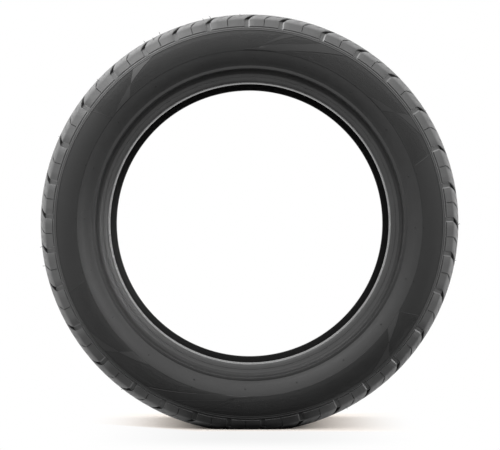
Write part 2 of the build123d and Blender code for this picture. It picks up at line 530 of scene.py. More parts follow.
def slot_columns(size, shift, radius, wall, spread):
    """Angles of one shoulder's columns on rows with this slant shift, radius, wall and spread.

    A pitch has the two edges and walls of its slot, three columns across its sipe half a pitch
    on, and three across each short tick between: angle = pitch + asin((shift + offset) / radius).
    """
    start, pitch = pitch_angles()
    half = size.slot_width / 2 / cos(size.slot_slant)
    slot = np.array([-half - EDGE_BEVEL, -half, -half + CUT_WALL, half, half, half + EDGE_BEVEL])
    slot = slot - wall[:, None, None] * (np.array(SLOT_KINDS) == RIGHT_FLOOR)
    across = np.array([-0.5, 0, 0.5])
    sipe = across * size.sipe_width * spread[:, None, None]
    shift, radius = shift[:, None, None], radius[:, None, None]
    slot = start[:, None] + np.arcsin((shift + slot) / radius)
    sipe = (start + pitch / 2)[:, None] + np.arcsin((shift + sipe) / radius)
    following = np.roll(slot, -1, axis=1)
    following[:, -1] += 2 * pi
    tick = across * TICK_WIDTH / radius
    to_sipe = (slot[..., -1:] + sipe[..., :1]) / 2 + tick
    to_slot = (sipe[..., -1:] + following[..., :1]) / 2 + tick
    columns = np.concatenate([slot, to_sipe, sipe, to_slot], axis=2)
    return columns.reshape(len(columns), -1), np.tile(PITCH_KINDS, len(start))


def both_columns(section, size, half):
    """Angles of both sides' columns on each row, with what each column follows.

    The far shoulder is the near one turned round, and its columns are counted from where they
    lie closest to the near ones. Over the crown one side's columns turn into the other's, and
    down the wall they become evenly spread.
    """
    slant_y = np.where(half.tread, np.clip(half.y, BLEND_Y, section.mouth_y), section.mouth_y)
    shift = (section.mouth_y - slant_y) * tan(size.slot_slant)
    radius = np.where(half.tread, half.r, section.foot_r)
    wall = np.where(half.tread & (half.r < section.shoulder_r), FLUTE_WALL, CUT_WALL)
    flared = half.tread & (half.y < section.mouth_y - SIPE_FLARE_END)
    spread = np.where(flared, SIPE_FLARE / cos(size.slot_slant), 1)
    near, near_kinds = slot_columns(size, shift, radius, wall, spread)

    far = -near[:, ::-1]
    count = near.shape[1]
    orders = (np.arange(count) + np.arange(count)[:, None]) % count
    off_blend = np.where(half.liner, np.inf, np.abs(half.y - BLEND_Y))
    blend_row = np.argmin(off_blend)
    apart = far[blend_row][orders] - near[blend_row]
    apart = np.abs((apart + pi) % (2 * pi) - pi).max(axis=1)
    order = orders[np.argmin(apart)]
    far = far[:, order]
    far += 2 * pi * np.round((near - far) / (2 * pi))

    even = 2 * pi * np.arange(count) / count
    even += (near[np.flatnonzero(half.tread)[-1]] - even).mean()
    mix = np.clip((BLEND_Y - half.y) / (2 * BLEND_Y), 0, 0.5)
    mix = np.where(half.liner, 0, mix)[:, None]
    even_share = smooth_step((section.foot_r - half.r) / EVEN_REACH)
    even_share = np.where(half.liner, 1, even_share)[:, None]

    def settled(own, other):
        angle = own + (other - own) * mix
        return angle + (even - angle) * even_share

    return settled(near, far), near_kinds, settled(far, near), near_kinds[::-1][order]


def cut_depths(section, size, half):
    """How deep each row's slots, sipes and ticks are cut, and its flutes and low sipes sunk."""
    slot = np.maximum(half.r - section.slot_floor(half.y, size.tread_depth), 0) * half.tread
    slot *= (half.y >= section.end_y + CUT_WALL / 2) & (half.y <= section.mouth_y)
    sipe = size.sipe_depth * half.tread * smooth_step((half.y - SIPE_START) / SIPE_RAMP)
    sipe *= smooth_step((section.mouth_y - half.y) / SIPE_FADE)
    tick = TICK_DEPTH * half.tread * smooth_step((half.y - TICK_START) / TICK_RAMP)
    tick *= smooth_step((TICK_END - half.y) / TICK_FADE)
    height = (half.r - section.foot_r) * half.tread
    recess = size.recess_depth * (half.y > section.edge_y) * (height > RECESS_FOOT)
    recess *= smooth_step((section.shoulder_r - half.r) / RECESS_FADE)
    low_sipe = LOW_SIPE_DEPTH * (height > SIPE_FOOT) * (half.y > section.mouth_y - LOW_SIPE_TOP)
    depths = {"slot": slot, "sipe": sipe, "tick": tick, "recess": recess, "low_sipe": low_sipe}
    return SimpleNamespace(**{name: depth[:, None] for name, depth in depths.items()})


def side_surface(section, size, half, cuts, angle, kinds, sign):
    """Points and marks of one side: x = rho sin(angle), z = rho cos(angle).

    rho is the row's radius, no further out than the ground allows, less what grooves, slots,
    sipes and ticks dig. Relief moves a row square to the section.
    """
    floor = (kinds == LEFT_FLOOR) | (kinds == RIGHT_FLOOR)
    edge = (kinds == LEFT_EDGE) | (kinds == RIGHT_EDGE)
    low_sipe = cuts.low_sipe * (kinds == SIPE)
    cut = cuts.slot * floor + np.minimum(cuts.slot, EDGE_BEVEL / 2) * edge
    cut = cut + cuts.sipe * (kinds == SIPE) + cuts.tick * (kinds == TICK)
    sink = cuts.recess * floor + np.minimum(cuts.recess, EDGE_BEVEL / 2) * edge + low_sipe
    relief = half.lift[:, None]
    left_over = np.minimum(relief, 0) * (sink < FLAT_SINK)
    lift = np.where(sink > 0, left_over, relief) - sink
    depth = np.maximum(half.dig[:, None], cut)

    ground_r = section.crown_r - CROWN_WALL * half.liner - size.standing_flat
    below = np.maximum(-np.cos(angle), 1e-6)
    rho = np.minimum(half.r[:, None], ground_r[:, None] / below)
    rho = rho - depth + lift * half.out_r[:, None]
    y = sign * (half.y[:, None] + lift * half.out_y[:, None])
    points = np.stack([rho * np.sin(angle), y, rho * np.cos(angle)], axis=-1)

    # Painted shade: the rubber darkens with a cut's depth, and a little in the fine groove under the
    # buttress; deep in the cuts it is also clean dark rubber
    in_groove = half.tread & (half.lift < -GROOVE_SINK)
    dark = np.clip((depth + low_sipe) / DARK_DEPTH, 0, 1)
    dark = np.maximum(dark, GROOVE_DARK * in_groove[:, None])
    # Painted highlight: marks the flute wall that the material paints lighter
    flute = (cuts.recess > 0) * ((kinds == RIGHT_FLOOR) | (kinds == RIGHT_EDGE))
    liner = np.broadcast_to(half.liner[:, None], depth.shape)
    return points, {LINER: liner, CUT_SHADE: dark, FLUTE_HIGHLIGHT: flute}


def closed_ring(points):
    """Quads of a grid that closes both ways, rows along the section and columns round the wheel."""
    rows, columns = points.shape[:2]
    index = np.arange(rows * columns).reshape(rows, columns)
    right = np.roll(index, -1, axis=1)
    below = np.roll(index, -1, axis=0)
    below_right = np.roll(right, -1, axis=0)
    return np.stack([index, right, below_right, below], axis=-1).reshape(-1, 4)


def tyre_surface(size):
    """The whole tyre as one closed grid, with its quads and its marks.

    The rows run down the far side to the liner and back up the near side.
    """
    section = Section(size)
    half = half_rows(section, size)
    cuts = cut_depths(section, size, half)
    near, near_kinds, far, far_kinds = both_columns(section, size, half)
    far_points, far_marks = side_surface(section, size, half, cuts, far, far_kinds, 1)
    near_points, near_marks = side_surface(section, size, half, cuts, near, near_kinds, -1)

    def joined(far_rows, near_rows):
        return np.concatenate([far_rows, near_rows[-2:0:-1]])

    points = joined(far_points, near_points)
    marks = {name: joined(far_marks[name], near_marks[name]) for name in far_marks}
    return points, closed_ring(points), marks


# Fields of the sidewall's band
# Going clockwise on the near side, a place on the band is its turn from the top, in degrees, and
# its share of the band's height, from 0 at the foot to 1 at the top. Fine slanted ribs cover the
# band, except on the smooth forms that cross it and on two fields that are left bare.

CROSSINGS = (53.0, 130.5, 225.5, 319.7)
# How polished the upper and the lower triangle of each crossing is, partly painted highlight: the
# upper triangle at 319.7 degrees is lightest as it stands in for the key lamp's reflection
CROSSING_POLISH_AND_HIGHLIGHT = (0.16, 0.03, 0.3, 0.5, 0.35, 0.5, 1.0, 0.3)
CROSSING_RISE = (0.01, 0.49)
SHALLOW_CLIMB = 21.0
STEEP_CLIMB = 6.5
SWEEPS = (-1.8, 180.0)
SWEEP_POLISH = 0.12
SWEEP_SHARES = (0.03, 0.99)
SWEEP_UPPER = (0.19, 0.0004, 0.00142)
SWEEP_LOWER = (-0.205, 0.0144, 0.00072)
SWEEP_FOOT_SHARES = (0.03, 0.12, 0.24)
SWEEP_FOOT_TURNS = (-1.0, 4.7, 5.8)
SPUR_FOOT = (0.27, 5.7)
SPUR_CLIMB = 10.0
SPUR_SPREAD = 4.0
SPUR_TIP = 0.4
FORM_STEPS = 30
# Share of the way across a smooth form, and height above the band in millimetres
FORM_CORNERS = np.array([
    (0, -0.4), (1, -0.4), (1, 0), (0.98, 0.35), (0.75, 0.35), (0.5, 0.35), (0.25, 0.35),
    (0.02, 0.35), (0, 0)])
BARE_FIELDS = ((70.0, 119.5), (250.0, 306.5))
BARE_END_SHARES = (0.1, 0.97)
BARE_END_LEAN = 2.0
RIB_LEAN = 6.5
RIB_GAP = 0.25
RIB_SAMPLES = 95
RIB_STATIONS = 6
RIB_SHORTEST = 4            # in samples; a shorter rest of a rib is left out
RIB_HALF_WIDTH = 0.24       # of the pitch
RIB_RISE = 0.6              # of the serration height
RIB_END_GAP = 0.02          # of the band's height, from a form's tip to the next rib
BAND_MARGIN = 0.03
EDGE_POLISH = 0.3
EDGE_SHARES = (0.25, 0.95)
EDGE_STATIONS = 36
EDGE_HALF_WIDTH = 0.6 * MM
RIDGE_SINK = 0.2 * MM
SLOPE_STEP = 0.1 * MM


def sweep_turn(edge, share):
    """Turn at which an edge of a sweep is at this share: share = a + b t + c t^2."""
    a, b, c = edge
    return (np.sqrt(np.maximum(b**2 + 4 * c * (share - a), 0)) - b) / (2 * c)


def crossing_forms():
    """The triangles at the crossings: arrays of share, left edge and right edge, edges in degrees.

    At a crossing two lines, turn = crossing + climb * (share - 0.5), bound a triangle above and
    another below.
    """
    rise = np.linspace(*CROSSING_RISE, FORM_STEPS)
    fall = rise[::-1]
    forms = []
    for crossing in CROSSINGS:
        forms.append((0.5 + rise, crossing + STEEP_CLIMB * rise, crossing + SHALLOW_CLIMB * rise))
        forms.append((0.5 - fall, crossing - SHALLOW_CLIMB * fall, crossing - STEEP_CLIMB * fall))
    return forms


def sweep_forms():
    """The sweeps and spurs: arrays of share, left edge and right edge, edges in degrees.

    A sweep climbs ever more steeply across the band between two curves, and a spur opens
    upwards from its foot.
    """
    low, high = SWEEP_SHARES
    share = np.linspace(low, high, FORM_STEPS)
    foot = np.interp(share, SWEEP_FOOT_SHARES, SWEEP_FOOT_TURNS)
    left = np.where(share > SWEEP_FOOT_SHARES[-1], sweep_turn(SWEEP_UPPER, share), foot)
    right = sweep_turn(SWEEP_LOWER, share)
    foot_share, foot_turn = SPUR_FOOT
    reach = np.linspace(foot_share, high, FORM_STEPS)
    spur = foot_turn + SPUR_CLIMB * (reach - foot_share)
    spur_width = SPUR_TIP + SPUR_SPREAD * (reach - foot_share)
    forms = []
    for start in SWEEPS:
        forms.append((share, start + left, start + right))
        forms.append((reach, start + spur, start + spur + spur_width))
    return forms


def band_place(section, turn, share, lift, sign):
    """Points of the band at a turn in degrees and share of its height, lifted off its surface.

    Also gives the direction square to the surface there.
    """
    r = section.band_foot + (section.band_top - section.band_foot) * share
    step = SLOPE_STEP
    slope = (section.wall_y(r + step) - section.wall_y(r - step)) / (2 * step)
    out_r, out_y = -slope / np.hypot(slope, 1), 1 / np.hypot(slope, 1)
    angle = np.radians(turn) * -sign
    rho = r + (lift - BAND_SINK) * out_r
    y = section.wall_y(r) + (lift - BAND_SINK) * out_y

    def turned(radial, axial):
        return np.stack(
            [radial * np.sin(angle), sign * axial + 0 * angle, radial * np.cos(angle)], axis=-1)

    return turned(rho, y), turned(out_r, out_y)


def tube_faces(points):
    """Quads round each of many tubes of stations and rings of points, and a cap on either end."""
    shape = points.shape[:3]
    index = np.arange(np.prod(shape)).reshape(shape)
    here, onward = index[:, :-1], index[:, 1:]
    quads = [here, onward, np.roll(onward, -1, axis=2), np.roll(here, -1, axis=2)]
    quads = np.stack(quads, axis=-1).reshape(-1, 4)
    return quads.tolist() + index[:, 0].tolist() + index[:, -1, ::-1].tolist()


def ridges(section, turn, share, half_width, height, sign):
    """Ridges of three-sided section, carried along paths of turn and share on the band.

    The section's corners are path + side * half_width, path + square * height and
    path - side * half_width, with the foot sunk a little and the ends run out to nothing.
    """
    path, square = band_place(section, turn, share, 0.0, sign)
    side = np.cross(np.gradient(path, axis=1), square)
    side *= half_width / np.linalg.norm(side, axis=-1, keepdims=True)
    rise = np.full(path.shape[1], height)
    rise[[0, -1]] = 0.0
    foot = path - RIDGE_SINK * square
    return np.stack([foot + side, path + square * rise[:, None], foot - side], axis=2)


def serrations(section, size, sign):
    """The ribs of one sidewall, broken where a smooth form or a bare field lies in their way."""
    count = int(pi * (section.band_foot + section.band_top) / size.serration_pitch)
    start = 360.0 * np.arange(count) / count
    share = np.linspace(BAND_MARGIN, 1 - BAND_MARGIN, RIB_SAMPLES)
    turn = start[:, None] + RIB_LEAN * (share - 0.5)
    free = np.ones(turn.shape, bool)
    for at, left, right in crossing_forms() + sweep_forms():
        width = np.interp(share, at, right - left) + 2 * RIB_GAP
        across = (turn - np.interp(share, at, left) + RIB_GAP) % 360
        free &= (across > width) | (share < at[0] - RIB_END_GAP) | (share > at[-1] + RIB_END_GAP)
    for left, right in BARE_FIELDS:
        free &= (turn - left) % 360 > right - left
    changes = np.diff(np.pad(free, ((0, 0), (1, 1))).astype(int), axis=1)
    rib, first = np.nonzero(changes == 1)
    last = np.nonzero(changes == -1)[1] - 1
    kept = last - first > RIB_SHORTEST
    low, high = share[first[kept], None], share[last[kept], None]
    reach = low + (high - low) * np.linspace(0, 1, RIB_STATIONS)
    bearing = start[rib[kept], None] + RIB_LEAN * (reach - 0.5)
    return ridges(section, bearing, reach, RIB_HALF_WIDTH * size.serration_pitch,
                  RIB_RISE * size.serration_height, sign)


def field_edges(section, size, sign):
    """The raised lines along the edges of each sweep and at the ends of the bare fields."""
    climb = np.linspace(*EDGE_SHARES, EDGE_STATIONS)
    across = np.linspace(*BARE_END_SHARES, EDGE_STATIONS)
    lines = [
        (climb, start + sweep_turn(edge, climb))
        for start in SWEEPS for edge in (SWEEP_UPPER, SWEEP_LOWER)]
    lines += [
        (across, end - BARE_END_LEAN * (across - 0.5)) for field in BARE_FIELDS for end in field]
    share, bearing = (np.array(values) for values in zip(*lines))
    return ridges(section, bearing, share, EDGE_HALF_WIDTH, size.serration_height, sign)


def plateaus(section, forms, sign):
    """Smooth forms, each a low plateau between its two edges: left + (right - left) * across."""
    share, left, right = (np.array(values)[..., None] for values in zip(*forms))
    across, lift = FORM_CORNERS.T
    points, _ = band_place(section, left + (right - left) * across, share, lift * MM, sign)
    return points


# Hairs and stubs that the mould's vents leave

STUB_TURNS = 1.5 + 18.0 * np.arange(20)
STUB_RISES = (11.5 * MM, 24.5 * MM)    # how far the rings of stubs lie above the rim line
STUB_RADIUS = 1.1 * MM
STUB_HEIGHTS = np.array([-1.6, 0.05, 0.25, 0.3]) * MM
STUB_GIRTHS = np.array([1.0, 1.0, 0.8, 0.3]) * STUB_RADIUS
STUB_SIDES = 8
# How far the stubs are darkened towards the cuts' colour
STUB_DARK = 0.22
HAIR_SEEDS = {-1: 5, 1: 6}             # one for each side
HAIR_PLACES = (0.12, 0.37, 0.62, 0.86)  # shares of a pitch at which the shoulder's vents lie
HAIRY_TURN = radians(313)              # most hairs are left round here
HAIR_CHANCE = (0.07, 0.4)              # that a vent has a hair, and what is added at that turn
HAIRY_SPREAD = 8.0
HAIR_STRAY = 0.006
HAIR_LOWEST = 0.93                     # none is left near the ground
HAIR_LEANS = (0.25, 0.8)
HAIR_LENGTHS = (0.4, 1.0)
HAIR_BENDS = (-0.5, 0.5)
HAIR_UPTURN = 0.35                     # a hair points out by this share of the shoulder's lean
HAIR_ROOM = 0.3 * MM
HAIR_STATIONS = np.array([-0.15, 0.2, 0.5, 0.8, 1.0])
HAIR_GIRTHS = np.array([0.5, 0.46, 0.42, 0.36, 0.2]) * MM
HAIR_SIDES = 6


def ring_turns(sides):
    """Angles of a ring's points, as a column."""
    return (2 * pi * np.arange(sides) / sides)[:, None]


def vent_stubs(section, sign):
    """The trimmed stubs of the sidewall's vents: low round pegs, turned about the wall's square.

    A ring of a peg is base + square * height + girth * (along cos + across sin).
    """
    turn = np.tile(STUB_TURNS, len(STUB_RISES))
    share = (np.array(STUB_RISES) - BAND_FOOT_UP) / (section.band_top - section.band_foot)
    share = np.repeat(share, len(STUB_TURNS))
    base, square = band_place(section, turn, share, 0.0, sign)
    angle = np.radians(turn) * -sign
    along = np.stack([np.cos(angle), 0 * angle, -np.sin(angle)], axis=-1)
    across = np.cross(along, square)
    around = ring_turns(STUB_SIDES)
    ring = np.cos(around) * along[:, None] + np.sin(around) * across[:, None]
    middle = base[:, None] + square[:, None] * STUB_HEIGHTS[:, None]
    return middle[:, :, None] + ring[:, None] * STUB_GIRTHS[:, None, None]


def vent_hairs(section, size, sign):
    """Hairs at the shoulder's vents: thin tubes that bend and thin towards their tips.

    A hair starts on the round of the shoulder and sways by bend * reach * share along it.
    """
    random = np.random.default_rng(HAIR_SEEDS[sign])
    start, pitch = pitch_angles()
    angle = np.concatenate([start + pitch * share for share in HAIR_PLACES])
    least, more = HAIR_CHANCE
    hairy = smooth_step(1 - HAIRY_SPREAD * (1 - np.cos(angle - HAIRY_TURN)))
    angle = angle[random.random(len(angle)) < least + more * hairy]
    angle = (angle + random.normal(0, HAIR_STRAY, len(angle))) * -sign
    angle = angle[np.cos(angle) > -HAIR_LOWEST]
    count = len(angle)
    lean = random.uniform(*HAIR_LEANS, count)
    r = section.bend_r + SHOULDER_RADIUS * np.cos(lean)
    y = section.bend_y + SHOULDER_RADIUS * np.sin(lean)
    room = section.crown_r - HAIR_ROOM - r
    length = np.minimum(size.spew_length * random.uniform(*HAIR_LENGTHS, count), room)
    bend = random.uniform(*HAIR_BENDS, count)
    reach = length[:, None] * HAIR_STATIONS
    upturn = (lean * HAIR_UPTURN)[:, None]
    rho = r[:, None] + reach * np.cos(upturn)
    out = y[:, None] + reach * np.sin(upturn)
    sway = angle[:, None] + bend[:, None] * reach * HAIR_STATIONS / rho
    middle = np.stack([rho * np.sin(sway), sign * out, rho * np.cos(sway)], axis=-1)
    up = np.stack([np.sin(sway), 0 * sway, np.cos(sway)], axis=-1)
    side = np.stack([np.cos(sway), 0 * sway, -np.sin(sway)], axis=-1)
    third = np.cross(side, up)
    around = ring_turns(HAIR_SIDES)
    ring = np.cos(around) * side[:, :, None] + np.sin(around) * third[:, :, None]
    return middle[:, :, None] + ring * HAIR_GIRTHS[:, None, None]


def both_sides(shape, *values):
    """A shape on the near and then on the far side."""
    return np.concatenate([shape(*values, sign) for sign in (-1, 1)])


# Materials

class Value:
    """A shader socket. Python's operators on it add Math nodes to its material."""

    def __init__(self, finish, socket):
        self.finish = finish
        self.socket = socket

    def math(self, operation, *others):
        inputs = dict(enumerate([self, *others]))
        return self.finish.node("Math", {"operation": operation}, inputs)

    def __add__(self, other):
        return self.math("ADD", other)

    def __sub__(self, other):
        return self.math("SUBTRACT", other)

    def __rsub__(self, other):
        return self.finish.node("Math", {"operation": "SUBTRACT"}, {0: other, 1: self})

    def __mul__(self, other):
        return self.math("MULTIPLY", other)

    def __truediv__(self, other):
        return self.math("DIVIDE", other)

    def __pow__(self, other):
        return self.math("POWER", other)

    __radd__ = __add__
    __rmul__ = __mul__


class Finish:
    """A node tree of a material or world, filled by its node method."""

    def __init__(self, tree):
        self.tree = tree
        tree.nodes.clear()

    def node(self, kind, settings=None, inputs=None, output=0):
        """Adds a node: first its settings, then the values or links of its sockets."""
        made = self.tree.nodes.new("ShaderNode" + kind)
        for name, value in (settings or {}).items():
            setattr(made, name, value)
        for name, value in (inputs or {}).items():
            if isinstance(value, Value):
                self.tree.links.new(value.socket, made.inputs[name])
            else:
                made.inputs[name].default_value = value
        return Value(self, made.outputs[output]) if made.outputs else made

    def outputs(self, value, *names):
        """Several outputs of the node that a value comes from."""
        return [Value(self, value.socket.node.outputs[name]) for name in names]

    def axes(self, place):
        """The x, y and z of a place."""
        return self.outputs(self.node("SeparateXYZ", None, {0: place}), "X", "Y", "Z")

    def mark(self, name):
        """A mark that the mesh carries."""
        return self.node("Attribute", {"attribute_name": name}, output="Fac")

    def seen(self, mirrored):
        """1 for what the camera sees, also through clear things, and a share for what gloss sees."""
        camera, glossy, through = self.outputs(
            self.node("LightPath"), "Is Camera Ray", "Is Glossy Ray", "Is Transmission Ray")
        return camera.math("MAXIMUM", through).math("MAXIMUM", glossy * mirrored)

    def smooth(self, value, low, high):
        """0 at low and 1 at high, eased at both ends."""
        return self.node("MapRange", {"interpolation_type": "SMOOTHSTEP"},
                         {"Value": value, "From Min": low, "From Max": high})

    def between(self, value, low, high, ease):
        """1 from low to high, easing to 0 outside."""
        return self.smooth(value, low - ease, low) * (1 - self.smooth(value, high, high + ease))

    def blend(self, share, first, second):
        """Colour that goes from the first to the second as the share goes from 0 to 1."""
        return self.node("Mix", {"data_type": "RGBA"}, {0: share, 6: first, 7: second}, output=2)

    def scaled(self, colour, share):
        """Colour made darker or lighter by a share."""
        return self.node("VectorMath", {"operation": "SCALE"}, {0: colour, "Scale": share})

    def mixed(self, share, first, second):
        """Shader that goes from the first to the second as the share goes from 0 to 1."""
        return self.node("MixShader", None, {0: share, 1: first, 2: second})

    def noise(self, place, scale, detail, roughness):
        """Cloudy noise from 0 to 1, with this many cycles to a metre."""
        return self.node("TexNoise", None, {
            "Vector": place, "Scale": scale, "Detail": detail, "Roughness": roughness})


def rgba(colour):
    """A colour setting with its alpha."""
    return (*colour, 1.0)


# Scale, detail and roughness of the rubber's noises
CLOUDS = (14.0, 4.0, 0.6)
DUST = (90.0, 5.0, 0.65)
GRAIN = (900.0, 2.0, 0.6)

# Tone of the rubber: its level, what the noises add and what the ground's shade takes
TONE_LEVEL = 0.72
CLOUD_TONE = 0.34
DUST_TONE = 0.22
TREAD_DUST_TONE = 0.5
GROUND_SHADE = 0.9

# Roughness of plain rubber, and what each zone and noise adds to it
PLAIN_ROUGHNESS = 0.45
ZONE_ROUGHNESS = {"buttress": 0.1, "band": 0.12, "seat": -0.18, "flute": -0.15, "polish": -0.2}
DUST_ROUGHNESS = 0.16
CLOUD_ROUGHNESS = 0.1
CUT_ROUGHNESS = 0.9

# Bump of the rubber: the share of its depth that each noise and the turned rings have
BUMP_DEPTH = 0.6 * MM
BUMP_STRENGTH = 0.6
GRAIN_BUMP = 0.03
DUST_BUMP = 0.1
CLOUD_BUMP = 0.25
RING_BUMP = 0.012
RING_PITCH = 1.3 * MM
COAT_SMOOTHING = 0.85

SPECULAR_LEVEL = 0.25
COAT_ROUGHNESS = 0.32
COAT_IOR = 1.4


def rubber_zones(finish, section, size, place):
    """How much each zone of the tyre has of a point, from 0 to 1."""
    x, y, z = finish.axes(place)
    r = (x * x + z * z) ** 0.5
    foot_r, toe_r, cover_r = section.foot_r, section.toe_r, section.cover_r
    ground = size.standing_flat - section.crown_r
    zone = SimpleNamespace()
    zone.liner = finish.mark(LINER)
    # painted shade that deepens into the cuts
    zone.cut = finish.smooth(finish.mark(CUT_SHADE), 0.08, 0.4)
    # painted highlight on the flute walls
    zone.flute = finish.smooth(finish.mark(FLUTE_HIGHLIGHT), 0.75, 1.0)
    # polish of the smooth forms, at the crossings partly a painted highlight
    zone.polish = finish.mark(POLISH_AND_HIGHLIGHT)
    zone.band = finish.between(r, section.band_foot, foot_r + 2 * MM, 0.8 * MM)
    zone.buttress = finish.smooth(r, foot_r + 2.6 * MM, foot_r + 4.6 * MM)
    zone.tread = finish.smooth(r, foot_r + 15 * MM, foot_r + 18.5 * MM)
    zone.bead = 1 - finish.smooth(r, cover_r - 0.2 * MM, cover_r + 0.6 * MM)
    # painted shade in the flange hollow
    zone.hollow = finish.between(r, section.bead_r + 14 * MM, cover_r - 0.3 * MM, 1.2 * MM)
    # Painted highlight: the narrow heel line, made light where the seat mirrors the white background
    heel = finish.between(r, toe_r + 0.2 * MM, toe_r + 1.6 * MM, 0.5 * MM)
    heel_y = section.heel_y
    zone.heel = heel * finish.smooth(y.math("ABSOLUTE"), heel_y - 6 * MM, heel_y - 3 * MM)
    zone.seat = (1 - finish.smooth(r, toe_r + 1.2 * MM, toe_r + 2.4 * MM)) * (1 - zone.liner)
    sheen = finish.smooth(r, foot_r - 0.9 * MM, foot_r - 0.3 * MM)
    zone.coat = sheen * (1 - zone.tread) * (1 - zone.cut)
    # Painted shade: the rubber darkens over the last few millimetres above the ground, standing in
    # for the shadow where the tyre stands
    zone.ground = 1 - finish.smooth(z, ground + 3 * MM, ground + 14 * MM)
    rings = (r * 2 * pi / RING_PITCH).math("SINE")
    zone.rings = rings * (1 - zone.buttress) * (1 - zone.band)
    return zone


def rubber_colour(finish, zone, colours):
    """The colour of each zone, laid over those before it."""
    # The smooth forms take the lighter facet colour by their share, which at the crossings is partly
    # a painted highlight
    band = finish.blend(zone.polish, rgba(colours.band), rgba(colours.facet))
    colour = rgba(colours.wall)
    for share, over in (
            (zone.buttress, rgba(colours.buttress)),
            (zone.tread, rgba(colours.tread)),
            (zone.band, band),
            (zone.bead, rgba(colours.bead)),
            # painted shade in the flange hollow
            (zone.hollow, rgba(colours.hollow)),
            # painted highlight on the heel line
            (zone.heel, rgba(colours.heel)),
            # painted highlight on the flute walls
            (zone.flute, rgba(colours.flute)),
            # painted shade deep in the cuts
            (zone.cut, rgba(colours.cut)),
            (zone.liner, rgba(colours.liner))):
        colour = finish.blend(share, colour, over)
    return colour


def rubber_material(name, size, colours):
    """Rubber whose colour, gloss and grain go by the zones of the section."""
    material = bpy.data.materials.new(name)
    material.use_nodes = True
    finish = Finish(material.node_tree)
    place = finish.node("TexCoord", output="Object")
    zone = rubber_zones(finish, Section(size), size, place)
    clouds, dust, grain = (finish.noise(place, *noise) for noise in (CLOUDS, DUST, GRAIN))

    tone = TONE_LEVEL + clouds * CLOUD_TONE + dust * DUST_TONE
    tone = tone + (dust - 0.5) * zone.tread * TREAD_DUST_TONE
    # painted shade near the ground, by GROUND_SHADE
    tone = tone * (1 - zone.ground * GROUND_SHADE)
    colour = finish.scaled(rubber_colour(finish, zone, colours), tone)

    roughness = PLAIN_ROUGHNESS + (dust - 0.5) * DUST_ROUGHNESS + (clouds - 0.5) * CLOUD_ROUGHNESS
    for zone_name, rougher in ZONE_ROUGHNESS.items():
        roughness = roughness + getattr(zone, zone_name) * rougher
    roughness = roughness + zone.cut * (CUT_ROUGHNESS - roughness)

    uneven = (dust * DUST_BUMP + clouds * CLOUD_BUMP) * (1 - zone.coat * COAT_SMOOTHING)
    height = grain * GRAIN_BUMP + uneven + zone.rings * RING_BUMP
    normal = finish.node("Bump", None, {
        "Strength": BUMP_STRENGTH, "Distance": BUMP_DEPTH, "Height": height})

    shader = finish.node("BsdfPrincipled", None, {
        "Base Color": colour, "Roughness": roughness, "Normal": normal,
        "Specular IOR Level": SPECULAR_LEVEL, "Coat Weight": zone.coat,
        "Coat Roughness": COAT_ROUGHNESS, "Coat IOR": COAT_IOR})
    finish.node("OutputMaterial", None, {"Surface": shader})
    return material


def shared_rubber(scene):
    """The tyre's rubber, made once."""
    name = "moulded_rubber"
    made = bpy.data.materials.get(name)
    return made or rubber_material(name, scene.tyre_sizes, scene.tyre_colours)


# Pieces

SHARP_ANGLE = radians(35)


def make_piece(name, points, faces, material):
    """A closed mesh with smooth faces and sharp edges past the angle, riding on the part."""
    mesh = bpy.data.meshes.new(name)
    mesh.from_pydata(points.reshape(-1, 3).tolist(), [], faces)
    mesh.polygons.foreach_set("use_smooth", np.ones(len(mesh.polygons), bool))
    mesh.set_sharp_from_angle(angle=SHARP_ANGLE)
    mesh.materials.append(material)
    mesh.update()
    piece = bpy.data.objects.new(name, mesh)
    bpy.context.collection.objects.link(piece)
    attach(piece, "root")
    return piece


def add_mark(piece, name, values):
    """Stores a value at each of the piece's points, for its material to read."""
    mark = piece.data.attributes.new(name, "FLOAT", "POINT")
    mark.data.foreach_set("value", values.ravel().astype(np.float32))


class TYRE_OT_body(bpy.types.Operator):
    """Build the tyre's body from tread to liner"""

    bl_idname = "tyre.body"
    bl_label = "Tyre body"

    def execute(self, context):
        points, faces, marks = tyre_surface(context.scene.tyre_sizes)
        body = make_piece("tyre_body", points, faces.tolist(), shared_rubber(context.scene))
        for name, mark in marks.items():
            add_mark(body, name, mark)
        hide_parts("tyre")
        return {"FINISHED"}


class TYRE_OT_band(bpy.types.Operator):
    """Build the serrations, edges and smooth forms of the sidewalls"""

    bl_idname = "tyre.band"
    bl_label = "Sidewall band"

    def execute(self, context):
        size = context.scene.tyre_sizes
        section = Section(size)
        rubber = shared_rubber(context.scene)
        # The crossings' shares are partly painted highlight
        for name, points, polish in (
                ("band_serrations", both_sides(serrations, section, size), 0.0),
                ("band_edges", both_sides(field_edges, section, size), EDGE_POLISH),
                ("band_crossings", both_sides(plateaus, section, crossing_forms()), CROSSING_POLISH_AND_HIGHLIGHT),
                ("band_sweeps", both_sides(plateaus, section, sweep_forms()), SWEEP_POLISH)):
            piece = make_piece(name, points, tube_faces(points), rubber)
            share = np.resize(polish, len(points))[:, None, None]
            add_mark(piece, POLISH_AND_HIGHLIGHT, np.broadcast_to(share, points.shape[:3]))
        return {"FINISHED"}


class TYRE_OT_hairs(bpy.types.Operator):
    """Build the hairs and stubs of rubber that the mould's vents leave"""

    bl_idname = "tyre.hairs"
    bl_label = "Vent hairs and stubs"

    def execute(self, context):
        size = context.scene.tyre_sizes
        section = Section(size)
        rubber = shared_rubber(context.scene)
        points = both_sides(vent_hairs, section, size)
        make_piece("vent_hairs", points, tube_faces(points), rubber)
        points = both_sides(vent_stubs, section)
        stubs = make_piece("vent_stubs", points, tube_faces(points), rubber)
        add_mark(stubs, CUT_SHADE, np.full(points.shape[:3], STUB_DARK))
        return {"FINISHED"}


# Studio

